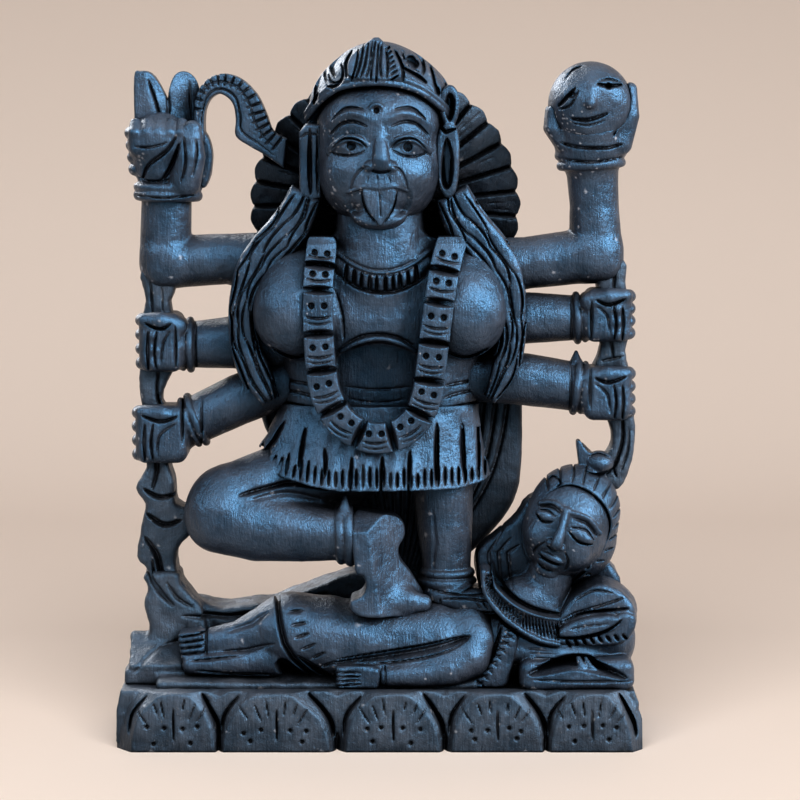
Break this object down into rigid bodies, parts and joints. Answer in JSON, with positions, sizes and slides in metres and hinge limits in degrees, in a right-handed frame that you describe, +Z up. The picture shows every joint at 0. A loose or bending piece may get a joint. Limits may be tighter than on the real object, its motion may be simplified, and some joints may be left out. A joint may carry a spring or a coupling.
{
  "type": "hindu deity statue",
  "caption": "Free-standing carved ebony figurine: a many-armed standing deity with raised bent leg, garland, crown and halo, over a reclining figure on a lotus plinth.",
  "frame": {"origin": "middle of the plinth's flat underside, at the bottom centre of the whole figurine", "axes": "+Z up, the front of the figurine faces -Y, +X to the right as seen by a person facing the front"},
  "size_m": [0.104, 0.037, 0.14],
  "materials": {
    "ebony": "hand-carved black ebony, rubbed to a soft satin polish, with fine tool lines",
    "ebony_ground": "hand-carved black ebony, duller and more roughly cut than the figures"
  },
  "bodies": {
    "root": {"plinth": "ebony_ground", "lotus_petals": "ebony_ground", "ground_bank": "ebony_ground", "lying_arm": "ebony", "lying_kilt": "ebony", "lying_legs": "ebony", "lying_collar": "ebony", "lying_head": "ebony", "lying_hair": "ebony", "lying_sleeve": "ebony", "bolster": "ebony_ground", "lying_shoulders": "ebony", "lying_cowl": "ebony", "skirt": "ebony", "standing_leg": "ebony", "standing_foot": "ebony", "bent_anklet": "ebony", "bent_foot": "ebony", "bent_shin": "ebony", "bent_thigh": "ebony", "torso": "ebony", "head": "ebony", "choker": "ebony", "garland_upper_left": "ebony", "garland_lower_left": "ebony", "garland_lower_right": "ebony", "garland_upper_right": "ebony", "crown_band": "ebony", "crown_cap": "ebony", "crown_crest": "ebony", "ear_left": "ebony", "ear_right": "ebony", "halo": "ebony_ground", "hair_left": "ebony", "hair_right": "ebony", "hair_back": "ebony_ground", "bracelet_upper_left": "ebony", "arm_upper_left": "ebony", "hand_upper_left": "ebony", "held_bud": "ebony", "blade": "ebony", "bracelet_upper_right": "ebony", "arm_upper_right": "ebony", "held_head": "ebony", "hand_upper_right": "ebony", "arm_middle_left": "ebony", "hand_middle_left": "ebony", "arm_lower_left": "ebony", "hand_lower_left": "ebony", "arm_middle_right": "ebony", "hand_middle_right": "ebony", "arm_lower_right": "ebony", "hand_lower_right": "ebony", "post_upper_left": "ebony_ground", "post_middle_left": "ebony_ground", "post_lower_left": "ebony_ground", "post_upper_right": "ebony_ground", "post_middle_right": "ebony_ground", "post_lower_right": "ebony_ground"}
  },
  "joints": []
}
